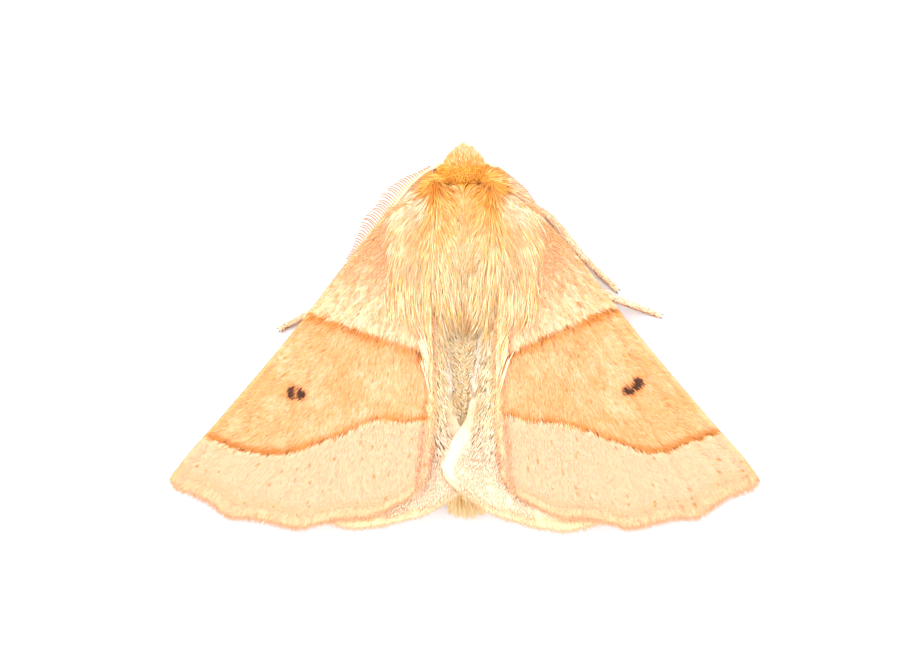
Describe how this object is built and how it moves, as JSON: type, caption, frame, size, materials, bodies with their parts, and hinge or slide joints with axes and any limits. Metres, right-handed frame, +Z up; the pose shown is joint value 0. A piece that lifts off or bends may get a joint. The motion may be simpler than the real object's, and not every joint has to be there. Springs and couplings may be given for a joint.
{
  "type": "scalloped oak moth",
  "caption": "Life-size still model of a male scalloped oak moth at rest: ochre scalloped wings spread flat in a broad triangle, furry thorax, comb-like antennae, six legs.",
  "frame": {"origin": "floor level under the middle of the model's bounding box", "axes": "+Y is where the head points, +X is the moth's right, +Z is up from the floor"},
  "size_m": [0.031, 0.0204, 0.0058],
  "materials": {
    "forewing_scales": "pale ochre, dense short scales",
    "hindwing_scales": "pale cream, dense short scales",
    "thorax_coat": "long pale ochre hair-scales",
    "head_coat": "orange tuft of scales",
    "abdomen_coat": "long cream hair-scales",
    "eye": "glossy dark",
    "antenna": "cream shaft, orange-brown comb",
    "leg": "close ochre scales"
  },
  "bodies": {
    "root": {"thorax": "thorax_coat", "head": "head_coat", "abdomen": "abdomen_coat", "eye_left": "eye", "eye_right": "eye", "palp_left": "head_coat", "palp_right": "head_coat", "antenna_left": "antenna", "antenna_right": "antenna", "forewing_left": "forewing_scales", "forewing_right": "forewing_scales", "hindwing_left": "hindwing_scales", "hindwing_right": "hindwing_scales", "foreleg_left": "leg", "foreleg_right": "leg", "midleg_left": "leg", "midleg_right": "leg", "hindleg_left": "leg", "hindleg_right": "leg"}
  },
  "joints": []
}
